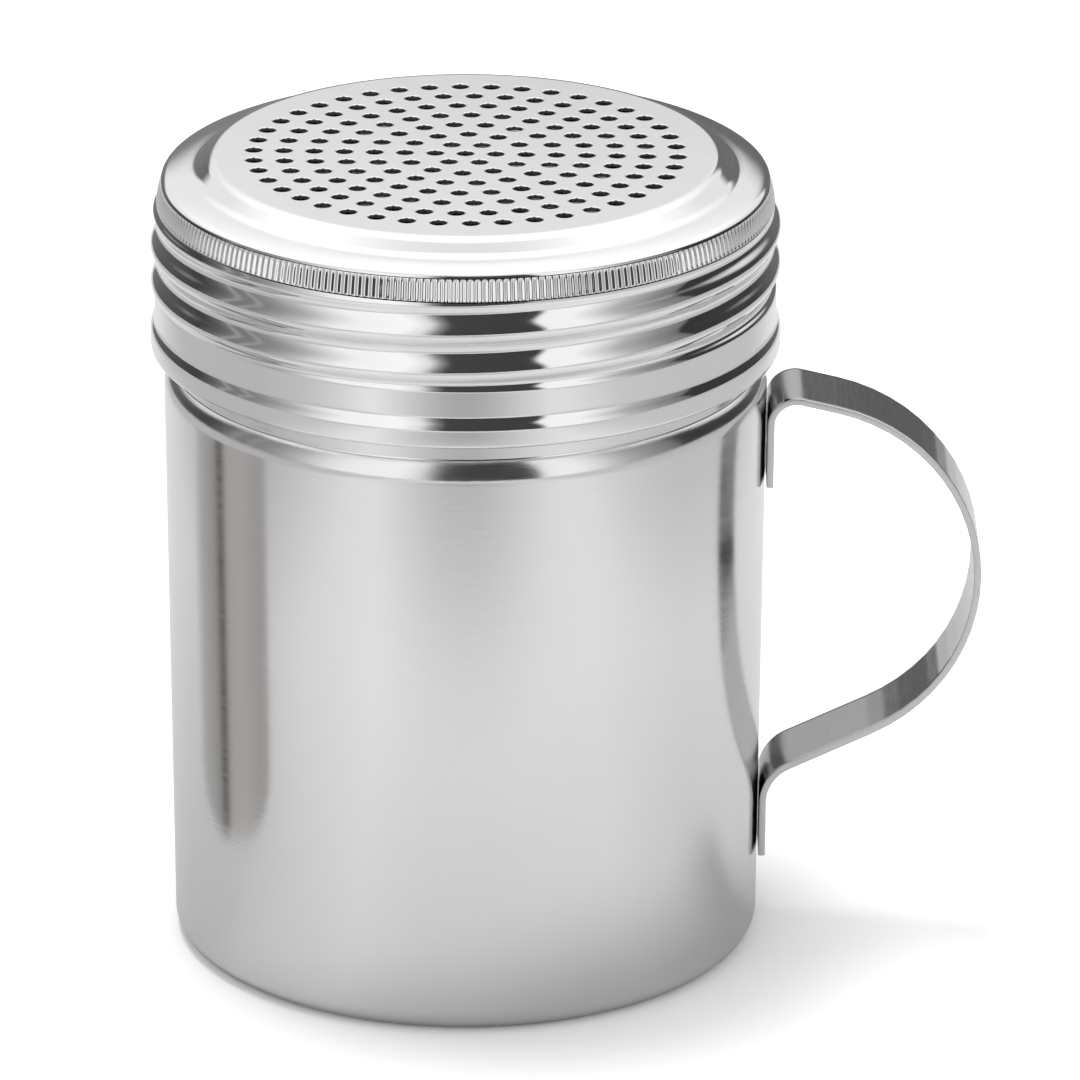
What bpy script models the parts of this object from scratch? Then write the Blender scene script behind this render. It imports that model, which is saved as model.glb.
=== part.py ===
# Stainless steel spice shaker: a drawn cup, a strap handle welded to it and a perforated screw lid.
# Metres, +Z up. The cup's axis is Z, its base stands on Z = 0 and the handle points along +X.

import math

import bmesh
import bpy

MM = 0.001

# Cup: outer radii, the shoulder's drop below the mouth, and the sheet that it is drawn from
CUP_HEIGHT = 92.2 * MM
CUP_SHEET = 0.6 * MM
CUP_BASE_RADIUS = 34.3 * MM
CUP_BASE_CORNER = 2.4 * MM
CUP_WALL_RADIUS = 34.9 * MM
SHOULDER_DROP = 24.5 * MM
SHOULDER_OUTER_BEND = 4.0 * MM
SHOULDER_INNER_BEND = 0.35 * MM
SHOULDER_ANGLE = math.radians(39.8)
MOUTH_BEAD_HEIGHT = 2.0 * MM
MOUTH_BEAD_TAPER = 0.5 * MM
MOUTH_BEAD_REACH = 0.3 * MM

# Screw thread, shared by the cup's neck and the lid's skirt, right-handed
THREAD_PITCH = 4.5 * MM
THREAD_CREST_DROP = 6.2 * MM
THREAD_ROWS_PER_PITCH = 5
NECK_THREAD_DEPTH = 0.85 * MM
NECK_THREAD_DROP = 2.8 * MM
NECK_THREAD_LENGTH = 12.4 * MM
NECK_THREAD_FADE = 1.5 * MM
LIFT_CLEARANCE = 0.15 * MM

# Lid: heights are drops below the top of its outer corner
LID_SHEET = 0.5 * MM
LID_SEAT_GAP = 0.3 * MM
LID_SKIRT = 20.5 * MM
LID_CORNER = 0.9 * MM
CROWN_RADIUS = 28.7 * MM
CROWN_RISE = 2.25 * MM
CROWN_BEND = 1.5 * MM
CROWN_SLOPE = math.radians(50)
RING_RISE = 0.37 * MM
RING_DOME = 0.11 * MM
RING_BEND = 15.0 * MM
EDGE_DROP = 0.13 * MM
KNURL_STEP = 0.2 * MM
KNURL_DROP = 3.25 * MM
KNURL_LEAN = math.radians(12)
LID_THREAD_DEPTH = 0.9 * MM
LID_THREAD_DROP = 3.4 * MM
LID_THREAD_LENGTH = 10.4 * MM
LID_THREAD_FADE = 1.1 * MM
BAND_STEP = 0.5 * MM
HEM_HEIGHT = 3.8 * MM
HEM_FLANK = 1.5 * MM

# Sprinkling holes: one in the middle and rings of six, twelve, eighteen and so on, out to a margin
HOLE_DIAMETER = 1.9 * MM
HOLE_MARGIN = 3.39 * MM
HOLE_RINGS = 7
HOLES_IN_FIRST_RING = 6
HOLE_SIDES = 8
HOLE_PATTERN_TURN = math.radians(-2.35)
CUTTER_OVERRUN = 1.0 * MM

# Handle: one bent strip, its feet lying along the cup's wall
HANDLE_WIDTH = 10.5 * MM
HANDLE_SHEET = 0.8 * MM
HANDLE_EDGE_ROUND = 0.12 * MM
WELD_GAP = 0.3 * MM
UPPER_FOOT_DROP = 0.1 * MM
UPPER_FOOT_LENGTH = 11.4 * MM
UPPER_FOOT_BEND = 3.0 * MM
UPPER_ARM_FALL = math.radians(13.2)
LOWER_FOOT_HEIGHT = 19.9 * MM
LOWER_FOOT_LENGTH = 10.0 * MM
LOWER_FOOT_BEND = 5.1 * MM
LOWER_ARM_RISE = math.radians(25.3)
LOOP_SHARE = 0.884

# Smoothness
SEGMENTS_ROUND = 48
SEGMENTS_BEND = 4
STRIP_TURN = math.radians(6.5)
LID_TURN = math.radians(17)
MERGE_DISTANCE = 0.001 * MM
SHARP_ANGLE = math.radians(40)

# Sizes that follow from the ones above
CUP_WALL_HEIGHT = CUP_HEIGHT - SHOULDER_DROP
NECK_RADIUS = CUP_WALL_RADIUS - (SHOULDER_OUTER_BEND + SHOULDER_INNER_BEND) * (1 - math.cos(SHOULDER_ANGLE))
THREAD_CREST_HEIGHT = CUP_HEIGHT - THREAD_CREST_DROP
LID_RING_HEIGHT = CUP_HEIGHT + LID_SEAT_GAP + LID_SHEET
LID_GROOVE_RADIUS = NECK_RADIUS + NECK_THREAD_DEPTH + LIFT_CLEARANCE + LID_SHEET
LID_BAND_RADIUS = LID_GROOVE_RADIUS + BAND_STEP
LID_KNURL_RADIUS = LID_GROOVE_RADIUS + KNURL_STEP
LID_HEM_RADIUS = LID_BAND_RADIUS + LID_SHEET
HOLE_SPACING = (CROWN_RADIUS - HOLE_MARGIN - HOLE_DIAMETER / 2) / HOLE_RINGS


def clear_scene():
    for obj in list(bpy.data.objects):
        bpy.data.objects.remove(obj, do_unlink=True)


def new_collection(name, hidden=False):
    collection = bpy.data.collections.new(name)
    bpy.context.scene.collection.children.link(collection)
    collection.hide_render = hidden
    return collection


def steel(name, colour, roughness):
    material = bpy.data.materials.new(name)
    material.use_nodes = True
    shader = material.node_tree.nodes["Principled BSDF"]
    shader.inputs["Base Color"].default_value = (*colour, 1.0)
    shader.inputs["Metallic"].default_value = 1.0
    shader.inputs["Roughness"].default_value = roughness
    return material


def add_mesh_object(name, mesh, material, collection):
    obj = bpy.data.objects.new(name, mesh)
    collection.objects.link(obj)
    if material:
        mesh.materials.append(material)
    return obj


def arc(centre, radius, start, end, steps=SEGMENTS_BEND):
    """Points of an arc in the profile's plane, its angles measured from the outward direction."""
    points = []
    for i in range(steps + 1):
        angle = start + (end - start) * i / steps
        points.append((centre[0] + radius * math.cos(angle), centre[1] + radius * math.sin(angle)))
    return points


def rows(start, end, longest):
    """Points along a straight run, no further apart than the length given."""
    count = max(1, math.ceil(math.dist(start, end) / longest))
    return [
        (start[0] + (end[0] - start[0]) * i / count, start[1] + (end[1] - start[1]) * i / count)
        for i in range(count + 1)
    ]


def join(*runs):
    """One outline from several runs, without the points that two runs share."""
    points = []
    for run in runs:
        for point in run:
            if not points or math.dist(point, points[-1]) > MERGE_DISTANCE:
                points.append(point)
    return points


def offset(path, distance):
    """The path moved to its right-hand side by the distance, its corners mitred."""
    moved = []
    for i, point in enumerate(path):
        normals = []
        for a, b in ((i - 1, i), (i, i + 1)):
            if a < 0 or b >= len(path):
                continue
            length = math.dist(path[a], path[b])
            normals.append(((path[b][1] - path[a][1]) / length, (path[a][0] - path[b][0]) / length))
        across = (sum(n[0] for n in normals), sum(n[1] for n in normals))
        size = math.hypot(*across)
        across = (across[0] / size, across[1] / size)
        reach = distance / (across[0] * normals[0][0] + across[1] * normals[0][1])
        moved.append((point[0] + across[0] * reach, point[1] + across[1] * reach))
    return moved


def filleted(corners, radii, turn_step):
    """A polyline whose inner corners are rounded to the radii, in steps of the angle given."""
    path = [corners[0]]
    for before, corner, after, radius in zip(corners, corners[1:], corners[2:], radii):
        incoming = math.atan2(corner[1] - before[1], corner[0] - before[0])
        outgoing = math.atan2(after[1] - corner[1], after[0] - corner[0])
        turn = math.remainder(outgoing - incoming, 2 * math.pi)
        setback = radius * math.tan(abs(turn) / 2)
        start = (corner[0] - setback * math.cos(incoming), corner[1] - setback * math.sin(incoming))
        side = math.copysign(math.pi / 2, turn)
        centre = (
            start[0] + radius * math.cos(incoming + side),
            start[1] + radius * math.sin(incoming + side),
        )
        steps = math.ceil(abs(turn) / turn_step)
        path += arc(centre, radius, incoming - side, incoming - side + turn, steps)
    path.append(corners[-1])
    return path


def turned(name, outline):
    """A mesh turned about Z from an outline that ends off the axis, its two ends closed by flat discs."""
    profile = bpy.data.meshes.new(name)
    edges = [(i, i + 1) for i in range(len(outline) - 1)]
    profile.from_pydata([(radius, 0.0, height) for radius, height in outline], edges, [])
    blank = bpy.data.objects.new(name, profile)
    bpy.context.scene.collection.objects.link(blank)
    screw = blank.modifiers.new("Turn", "SCREW")
    screw.axis = "Z"
    screw.steps = SEGMENTS_ROUND
    screw.render_steps = SEGMENTS_ROUND
    screw.use_merge_vertices = True
    screw.merge_threshold = MERGE_DISTANCE
    graph = bpy.context.evaluated_depsgraph_get()
    mesh = bpy.data.meshes.new_from_object(blank.evaluated_get(graph))
    bpy.data.objects.remove(blank, do_unlink=True)
    shell = bmesh.new()
    shell.from_mesh(mesh)
    bmesh.ops.holes_fill(shell, edges=[edge for edge in shell.edges if edge.is_boundary])
    bmesh.ops.recalc_face_normals(shell, faces=shell.faces)
    shell.to_mesh(mesh)
    shell.free()
    return mesh


def shade(mesh):
    for face in mesh.polygons:
        face.use_smooth = True
    mesh.set_sharp_from_angle(angle=SHARP_ANGLE)


def ease(value, low, high):
    """Rises smoothly from 0 at the low value to 1 at the high one."""
    share = min(max((value - low) / (high - low), 0.0), 1.0)
    return share * share * (3 - 2 * share)


def thread_wave(x, y, height):
    """1 on the crest of the helix and -1 midway between two turns, for a height above the cup's base."""
    turn_from_front = (math.atan2(y, x) + math.pi / 2) / (2 * math.pi)
    return math.cos(2 * math.pi * ((height - THREAD_CREST_HEIGHT) / THREAD_PITCH - turn_from_front))


def roll_thread(mesh, lowest, highest, fade, base_height, radius_at):
    """Moves the points between two heights in or out to the thread's radius, fading at both ends."""
    for vertex in mesh.vertices:
        height = vertex.co.z + base_height
        strength = ease(height, lowest, lowest + fade) * (1 - ease(height, highest - fade, highest))
        reach = math.hypot(vertex.co.x, vertex.co.y)
        if strength == 0 or reach < CROWN_RADIUS:
            continue
        change = strength * radius_at(thread_wave(vertex.co.x, vertex.co.y, height), height)
        vertex.co.x *= (reach + change) / reach
        vertex.co.y *= (reach + change) / reach


def cup_wall_radius(height):
    share = (height - CUP_BASE_CORNER) / (CUP_WALL_HEIGHT - CUP_BASE_CORNER)
    return CUP_BASE_RADIUS + (CUP_WALL_RADIUS - CUP_BASE_RADIUS) * share


def cup_outline():
    """Inner floor, up the inside, over the beaded mouth and down the outside to the base."""
    corner = (CUP_BASE_RADIUS - CUP_BASE_CORNER, CUP_BASE_CORNER)
    lower = (CUP_WALL_RADIUS - SHOULDER_OUTER_BEND, CUP_WALL_HEIGHT)
    rise = (SHOULDER_OUTER_BEND + SHOULDER_INNER_BEND) * math.sin(SHOULDER_ANGLE)
    upper = (NECK_RADIUS + SHOULDER_INNER_BEND, CUP_WALL_HEIGHT + rise)
    bead_bottom = CUP_HEIGHT - MOUTH_BEAD_HEIGHT
    neck_top = bead_bottom - MOUTH_BEAD_TAPER
    row = THREAD_PITCH / THREAD_ROWS_PER_PITCH
    outside = join(
        arc(corner, CUP_BASE_CORNER, -math.pi / 2, 0),
        arc(lower, SHOULDER_OUTER_BEND, 0, SHOULDER_ANGLE),
        arc(upper, SHOULDER_INNER_BEND, math.pi + SHOULDER_ANGLE, math.pi),
        rows((NECK_RADIUS, CUP_WALL_HEIGHT + rise), (NECK_RADIUS, neck_top), row),
    )
    inside = offset(outside, -CUP_SHEET)
    bead_reach = NECK_RADIUS + MOUTH_BEAD_REACH
    bead_round = (CUP_SHEET + MOUTH_BEAD_REACH) / 2
    bead = join(
        arc((bead_reach - bead_round, CUP_HEIGHT - bead_round), bead_round, math.pi, 0),
        [(bead_reach, bead_bottom)],
    )
    return join(inside, bead, reversed(outside))


def build_cup(collection):
    mesh = turned("cup_body", cup_outline())
    top = CUP_HEIGHT - NECK_THREAD_DROP

    def ridge(wave, height):
        return NECK_THREAD_DEPTH * (1 + wave) / 2

    roll_thread(mesh, top - NECK_THREAD_LENGTH, top, NECK_THREAD_FADE, 0.0, ridge)
    shade(mesh)
    return add_mesh_object("cup_body", mesh, steel("cup_steel", (0.60, 0.60, 0.61), 0.22), collection)


def lid_top():
    """The sheet's upper face, from the raised crown over the domed ring and down the leaning knurl."""
    crown_edge = (CROWN_RADIUS + CROWN_BEND * math.tan(CROWN_SLOPE / 2), CROWN_RISE)
    foot = (crown_edge[0] + (CROWN_RISE - RING_RISE) / math.tan(CROWN_SLOPE), RING_RISE)
    edge = (LID_KNURL_RADIUS - (KNURL_DROP - EDGE_DROP) * math.tan(KNURL_LEAN), -EDGE_DROP)
    ring_middle = ((foot[0] + edge[0]) / 2, (foot[1] + edge[1]) / 2 + RING_DOME)
    corners = [
        (CROWN_RADIUS, CROWN_RISE),
        crown_edge,
        foot,
        ring_middle,
        edge,
        (LID_KNURL_RADIUS, -KNURL_DROP),
    ]
    return filleted(corners, (CROWN_BEND, CROWN_BEND, RING_BEND, LID_CORNER), LID_TURN)


def lid_outline():
    """Crown, outer ring, knurl, threaded skirt, band and folded hem, then back up the inside."""
    row = THREAD_PITCH / THREAD_ROWS_PER_PITCH
    thread_end = LID_THREAD_DROP + LID_THREAD_LENGTH
    hem_top = LID_SKIRT - HEM_HEIGHT
    fold = (LID_BAND_RADIUS, LID_SHEET - LID_SKIRT)
    skirt = join(
        lid_top(),
        rows((LID_KNURL_RADIUS, -LID_THREAD_DROP), (LID_BAND_RADIUS, -thread_end), row),
    )
    outside = join(
        skirt,
        [(LID_BAND_RADIUS, -hem_top)],
        [(LID_BAND_RADIUS + LID_SHEET / 2, -hem_top - HEM_FLANK / 3)],
        [(LID_HEM_RADIUS, -hem_top - HEM_FLANK)],
        arc(fold, LID_SHEET, 0, -math.pi),
    )
    inside = offset(join(skirt, [fold]), LID_SHEET)
    return join(outside, reversed(inside))


def hole_centres():
    centres = [(0.0, 0.0)]
    for ring in range(1, HOLE_RINGS + 1):
        count = ring * HOLES_IN_FIRST_RING
        for i in range(count):
            angle = HOLE_PATTERN_TURN + 2 * math.pi * i / count
            centres.append((ring * HOLE_SPACING * math.cos(angle), ring * HOLE_SPACING * math.sin(angle)))
    return centres


def build_hole_cutter(collection):
    """All the sprinkling holes as one mesh of upright rods."""
    rods = bmesh.new()
    depth = LID_SHEET + 2 * CUTTER_OVERRUN
    for x, y in hole_centres():
        made = bmesh.ops.create_cone(
            rods,
            cap_ends=True,
            segments=HOLE_SIDES,
            radius1=HOLE_DIAMETER / 2,
            radius2=HOLE_DIAMETER / 2,
            depth=depth,
        )
        bmesh.ops.translate(rods, verts=made["verts"], vec=(x, y, CROWN_RISE - LID_SHEET / 2))
    mesh = bpy.data.meshes.new("sprinkle_hole_cutter")
    rods.to_mesh(mesh)
    rods.free()
    cutter = add_mesh_object("sprinkle_hole_cutter", mesh, None, collection)
    cutter.hide_render = True
    cutter.display_type = "WIRE"
    return cutter


def build_lid(collection, cutters):
    """The lid, its origin on the cup's axis at the height of its outer corner's top."""
    mesh = turned("screw_lid", lid_outline())
    top = LID_RING_HEIGHT - LID_THREAD_DROP
    low = top - LID_THREAD_LENGTH
    middle = LID_GROOVE_RADIUS + LID_THREAD_DEPTH / 2

    def groove(wave, height):
        share = (height - low) / LID_THREAD_LENGTH
        plain = LID_BAND_RADIUS + (LID_KNURL_RADIUS - LID_BAND_RADIUS) * share
        return middle + wave * LID_THREAD_DEPTH / 2 - plain

    roll_thread(mesh, low, top, LID_THREAD_FADE, LID_RING_HEIGHT, groove)
    shade(mesh)
    lid = add_mesh_object("screw_lid", mesh, steel("lid_steel", (0.66, 0.66, 0.67), 0.20), collection)
    lid.location.z = LID_RING_HEIGHT
    cutter = build_hole_cutter(cutters)
    cutter.parent = lid
    holes = lid.modifiers.new("Sprinkle holes", "BOOLEAN")
    holes.operation = "DIFFERENCE"
    holes.solver = "EXACT"
    holes.object = cutter
    return lid


def handle_path():
    """The middle of the strip's thickness, from the end of the upper foot to the end of the lower one."""
    clear = WELD_GAP + HANDLE_SHEET / 2

    def on_wall(height):
        return (cup_wall_radius(height) + clear, height)

    upper = on_wall(CUP_WALL_HEIGHT - UPPER_FOOT_DROP)
    lower = on_wall(LOWER_FOOT_HEIGHT)
    fall = math.tan(UPPER_ARM_FALL)
    rise = math.tan(LOWER_ARM_RISE)
    reach = (upper[1] + fall * upper[0] - lower[1] + rise * lower[0]) / (fall + rise)
    meeting = (reach, upper[1] - fall * (reach - upper[0]))
    half_turn = (math.pi - UPPER_ARM_FALL - LOWER_ARM_RISE) / 2
    loop_radius = LOOP_SHARE * math.dist(upper, meeting) / math.tan(half_turn)
    corners = [
        on_wall(upper[1] - UPPER_FOOT_LENGTH),
        upper,
        meeting,
        lower,
        on_wall(lower[1] - LOWER_FOOT_LENGTH),
    ]
    return filleted(corners, (UPPER_FOOT_BEND, loop_radius, LOWER_FOOT_BEND), STRIP_TURN)


def build_handle(collection):
    path = handle_path()
    half = HANDLE_WIDTH / 2
    points = [(x, side, z) for x, z in path for side in (-half, half)]
    faces = [(2 * i, 2 * i + 2, 2 * i + 3, 2 * i + 1) for i in range(len(path) - 1)]
    mesh = bpy.data.meshes.new("handle_strap")
    mesh.from_pydata(points, [], faces)
    shade(mesh)
    colour = steel("handle_steel", (0.52, 0.52, 0.53), 0.24)
    handle = add_mesh_object("handle_strap", mesh, colour, collection)
    thickness = handle.modifiers.new("Thickness", "SOLIDIFY")
    thickness.thickness = HANDLE_SHEET
    thickness.offset = 0.0
    thickness.use_even_offset = True
    edges = handle.modifiers.new("Edges", "BEVEL")
    edges.width = HANDLE_EDGE_ROUND
    edges.segments = 1
    edges.limit_method = "ANGLE"
    edges.angle_limit = SHARP_ANGLE
    return handle


def main():
    clear_scene()
    shaker = new_collection("spice_shaker")
    cutters = new_collection("cutters", hidden=True)
    cup = build_cup(shaker)
    handle = build_handle(shaker)
    handle.parent = cup
    lid = build_lid(shaker, cutters)
    lid.parent = cup


main()
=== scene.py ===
import math

import bmesh
import bpy
from mathutils import Matrix, Vector
from mathutils.geometry import delaunay_2d_cdt


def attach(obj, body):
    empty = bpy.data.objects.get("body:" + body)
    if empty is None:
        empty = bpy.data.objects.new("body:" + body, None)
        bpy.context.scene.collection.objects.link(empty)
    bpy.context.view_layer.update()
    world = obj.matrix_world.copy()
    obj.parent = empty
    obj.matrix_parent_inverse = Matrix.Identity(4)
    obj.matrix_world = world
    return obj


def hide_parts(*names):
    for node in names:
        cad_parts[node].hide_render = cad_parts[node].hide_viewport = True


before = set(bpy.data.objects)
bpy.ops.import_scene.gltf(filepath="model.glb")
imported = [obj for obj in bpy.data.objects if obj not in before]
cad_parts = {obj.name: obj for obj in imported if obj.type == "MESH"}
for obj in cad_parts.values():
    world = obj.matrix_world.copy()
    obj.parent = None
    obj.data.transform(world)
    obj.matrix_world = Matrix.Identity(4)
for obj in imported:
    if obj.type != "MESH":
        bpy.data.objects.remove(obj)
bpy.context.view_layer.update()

MM = 0.001

# Camera that fits the photograph's outlines
ELEVATION = math.radians(21.23)
ROLL = 0.003
LENS_MM = 297.5
SENSOR_MM = 36.0
NEAREST = 0.01
FARTHEST = 20.0
CAMERA_BACK = 1058.56 * MM
CAMERA_RIGHT = 8.80 * MM
CAMERA_UP = 44.38 * MM

# Cup, as in the CAD
CUP_HEIGHT = 92.2 * MM
CUP_SHEET = 0.6 * MM
CUP_BASE_RADIUS = 34.3 * MM
CUP_BASE_CORNER = 2.4 * MM
CUP_WALL_RADIUS = 34.9 * MM
CUP_WALL_HEIGHT = 67.7 * MM
SHOULDER_OUTER_BEND = 4.0 * MM
SHOULDER_INNER_BEND = 0.35 * MM
SHOULDER_ANGLE = math.radians(39.8)
MOUTH_BEAD_HEIGHT = 2.0 * MM
MOUTH_BEAD_TAPER = 0.5 * MM
MOUTH_BEAD_REACH = 0.3 * MM

# Thread, right-handed
THREAD_PITCH = 4.5 * MM
THREAD_CREST_HEIGHT = CUP_HEIGHT - 6.2 * MM
NECK_THREAD_DEPTH = 0.85 * MM
NECK_THREAD_DROP = 2.8 * MM
NECK_THREAD_LENGTH = 12.4 * MM
NECK_THREAD_FADE = 1.5 * MM
LIFT_CLEARANCE = 0.15 * MM

# Lid: heights are drops below the top of its outer corner
LID_SHEET = 0.5 * MM
LID_SEAT_GAP = 0.3 * MM
LID_SKIRT = 20.5 * MM
LID_CORNER = 0.9 * MM
CROWN_RADIUS = 28.7 * MM
CROWN_RISE = 2.25 * MM
CROWN_BEND = 1.5 * MM
CROWN_SLOPE = math.radians(50)
RING_RISE = 0.37 * MM
RING_DOME = 0.11 * MM
RING_BEND = 15.0 * MM
EDGE_DROP = 0.13 * MM
KNURL_STEP = 0.2 * MM
KNURL_DROP = 3.25 * MM
KNURL_LEAN = math.radians(12)
LID_THREAD_DEPTH = 0.9 * MM
LID_THREAD_DROP = 3.4 * MM
LID_THREAD_LENGTH = 10.4 * MM
LID_THREAD_FADE = 1.1 * MM
BAND_STEP = 0.5 * MM
HEM_HEIGHT = 3.8 * MM
HEM_LEAN = math.radians(32)

# Knurl: fine upright ribs under the lid's top corner, on a slightly barrelled band
RIBS = 270
RIB_SAMPLES = 10
RIB_DEPTH = 0.17 * MM
RIB_BARREL = 0.06 * MM
# Shares of the knurl's height, each with the share of the ribs' full depth there
RIB_DEPTH_SHARES = (
    (0.0, 0.0), (0.04, 0.25), (0.1, 0.8), (0.2, 1.0),
    (0.5, 1.0), (0.8, 1.0), (0.92, 0.95), (0.97, 0.7),
)
# Just below the ribs the wall lies in by these shares of their depth, and comes out over a length
RIB_END_INSET = 0.6
UNDER_RIBS_INSET = 0.7
UNDER_RIBS_BLEND = 2.6 * MM

# Holes, each with a rounded edge in a narrow ring of even faces
HOLE_DIAMETER = 1.9 * MM
HOLE_SPACING = 3.48 * MM
HOLE_RINGS = 7
HOLES_IN_FIRST_RING = 6
HOLE_SIDES = 28
HOLE_PATTERN_TURN = math.radians(-2.35)
HOLE_EDGE = 0.12 * MM
HOLE_EDGE_TURNS = (30, 60, 90)
HOLE_FLANGE = 0.05 * MM
# A face lies in a hole where its middle is within this share of the hole's radius
HOLE_SHARE = 0.97

# Handle: one bent strip, its feet lying along the cup's wall
HANDLE_WIDTH = 10.5 * MM
HANDLE_SHEET = 0.8 * MM
HANDLE_EDGE_ROUND = 0.16 * MM
HANDLE_EDGE_TURNS = (0, 22, 45, 68, 90)
HANDLE_STRIPS = 21
HANDLE_STEP = 0.45 * MM
HANDLE_SHARP_ANGLE = math.radians(35)
CUT_END_ROUND = 0.08 * MM
CUT_END_ANGLE = math.radians(60)
# A face of the strip counts as its side where its normal points across by more than this
EDGE_FACING = 0.3
# Closer than in the CAD, as a welded foot looks
WELD_GAP = 0.06 * MM
UPPER_FOOT_DROP = 0.1 * MM
UPPER_FOOT_LENGTH = 11.4 * MM
UPPER_FOOT_BEND = 3.0 * MM
UPPER_ARM_FALL = math.radians(13.2)
LOWER_FOOT_HEIGHT = 19.9 * MM
LOWER_FOOT_LENGTH = 10.0 * MM
LOWER_FOOT_BEND = 5.1 * MM
LOWER_ARM_RISE = math.radians(25.3)
LOOP_SHARE = 0.884
# Each foot has two welds, at these shares of its flat height
WELD_SHARES = (0.30, 0.78)
WELD_SPOT = 1.7 * MM
WELD_SPOT_FLAT = 0.72
WELD_DIMPLE = 0.1 * MM
# Welds are on the strip's outer face, where it stays this close to the upper foot's end
FOOT_WITHIN = 0.5 * MM

# Fineness: points round the axis, and the longest steps along bends and threads
AROUND = 360
# Rings that close a flat disc: (share of its radius, points)
CAP_RINGS = ((0.85, 180), (0.5, 60), (0.2, 20))
SHARP_ANGLE = math.radians(50)
BEND_STEP = math.radians(6)
THREAD_ROW = 0.16 * MM
SUPPORT = 0.15 * MM
JOIN_WITHIN = 0.002 * MM
# The triangulation keeps what is inside the loops, and takes points this close for one
CDT_INSIDE = 1
CDT_WITHIN = 1e-9

# Sizes that follow from the ones above
SHOULDER_BENDS = SHOULDER_OUTER_BEND + SHOULDER_INNER_BEND
NECK_RADIUS = CUP_WALL_RADIUS - SHOULDER_BENDS * (1 - math.cos(SHOULDER_ANGLE))
LID_RING_HEIGHT = CUP_HEIGHT + LID_SEAT_GAP + LID_SHEET
LID_GROOVE_RADIUS = NECK_RADIUS + NECK_THREAD_DEPTH + LIFT_CLEARANCE + LID_SHEET
LID_BAND_RADIUS = LID_GROOVE_RADIUS + BAND_STEP
LID_KNURL_RADIUS = LID_GROOVE_RADIUS + KNURL_STEP
LID_HEM_RADIUS = LID_BAND_RADIUS + LID_SHEET

# Steel: noise is drawn out round the cup's axis, or across the strap, and its levels fill a range
ROUND_LINES = (0.12, 0.12, 1.0)
CROSS_LINES = (1.0, 0.1, 1.0)
NO_LINES = (1.0, 1.0, 1.0)
FINE_GRAIN = 2600.0
EDGE_GRAIN = 1800.0
CLOUD_SIZE = 45.0
CLOUD_SHARE = 0.35
NOISE_LOW = 0.3
NOISE_HIGH = 0.7
BUMP_HEIGHT = 0.02 * MM

# Studio: (azimuth in degrees from the camera's side, brightness near the horizon)
STUDIO_AROUND = (
    (-180, 0.28), (-162, 0.22), (-152, 0.17), (-138, 0.12), (-112, 0.06), (-104, 0.14),
    (-98.5, 0.22), (-96.5, 0.42), (-95.5, 0.42), (-93.5, 0.24), (-89, 0.25), (-87, 0.42),
    (-86, 0.42), (-84, 0.27), (-75, 0.40), (-65, 0.62), (-56, 0.92), (-46, 1.20),
    (-24, 1.28), (-16, 1.0), (-11, 0.3), (-7, 0.07), (27.5, 0.06), (29.0, 1.22),
    (44, 1.22), (52, 0.95), (62, 0.58), (75, 0.36), (87, 0.22), (88.5, 0.045),
    (125, 0.06), (150, 0.18),
)
# (azimuth in degrees, elevation in degrees at which the overhead white begins)
STUDIO_TOP_STARTS = (
    (-180, 17), (-167, 15), (-158, 13), (-149, 7.5), (-140, 7), (-122, 14),
    (-95, 31), (-60, 40), (-20, 48), (-12, 51), (30, 51), (38, 48),
    (70, 40), (95, 31), (122, 14), (140, 7), (149, 8), (160, 19),
    (165, 22), (169, 22), (172, 18), (176, 16.5), (180, 17),
)
STUDIO_PEAK = 1.5
STUDIO_SOFTNESS = math.radians(3)
# The overhead white brightens from one height to another
STUDIO_BACK = 1.04
STUDIO_BACK_ENDS = math.radians(22)
STUDIO_TOP = 1.45
STUDIO_TOP_FULL = math.radians(40)
# What lights the floor and other dull surfaces
STUDIO_DIFFUSE = 0.78
# The softbox ends short of the camera's side, where a plain ceiling shows
CEILING = 1.02
CEILING_END = math.radians(64)
CEILING_END_SOFTNESS = math.radians(5)
CEILING_STARTS = 0.15
CEILING_FULL = 0.45
KEY_PLACE = (-0.20, 0.20, 1.50)
KEY_AIM = (0.0, 0.0, 0.03)
KEY_SIZE = 0.50
KEY_WATTS = 10.0

# Table top, with the soft painted shades that only its reflection in the steel shows
FLOOR_WIDTH = 8.0
FLOOR_FRONT = -0.62
FLOOR_BACK = 0.45
FLOOR_WHITE = 0.92
FLOOR_ROUGHNESS = 0.8
FLOOR_SPECULAR = 0.1
# The camera alone sees the floor lifted towards white by a glow, more so away from the object, so
# the shadow close to it is painted deeper
FLOOR_LIFT_NEAR = 0.10
FLOOR_LIFT_FAR = 0.32
FLOOR_LIFT_STARTS = 0.034
FLOOR_LIFT_ENDS = 0.055
# Painted shade: a darker patch in front of the object
SHADE_PLACE = (0.0, -0.26)
SHADE_RADIUS = 0.16
SHADE_DEPTH = 0.50
# Painted shade: darker far to the left and right
SIDE_SHADE = 0.74
SIDE_SHADE_STARTS = 0.13
SIDE_SHADE_ENDS = 0.20
# Painted shade: a little darker near the object
NEAR_SHADE = 0.84
NEAR_SHADE_STARTS = 0.04
NEAR_SHADE_ENDS = 0.14
# (azimuth in degrees from the camera's side, painted brightness of the table in that direction)
FLOOR_AROUND = (
    (-180, 0.72), (-95, 0.68), (-74, 0.70), (-56, 0.81), (-31, 0.92), (-10, 0.87),
    (10, 0.87), (46, 0.91), (62, 0.86), (80, 0.82), (100, 0.82), (180, 0.72),
)

# A thin board to the left that shows in the cup's side, its shades given from front to back
BOARD_PLACE = (-70 * MM, -10.4 * MM)
BOARD_WIDTH = 44.8 * MM
BOARD_HEIGHT = 52 * MM
BOARD_THICKNESS = 2 * MM
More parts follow.
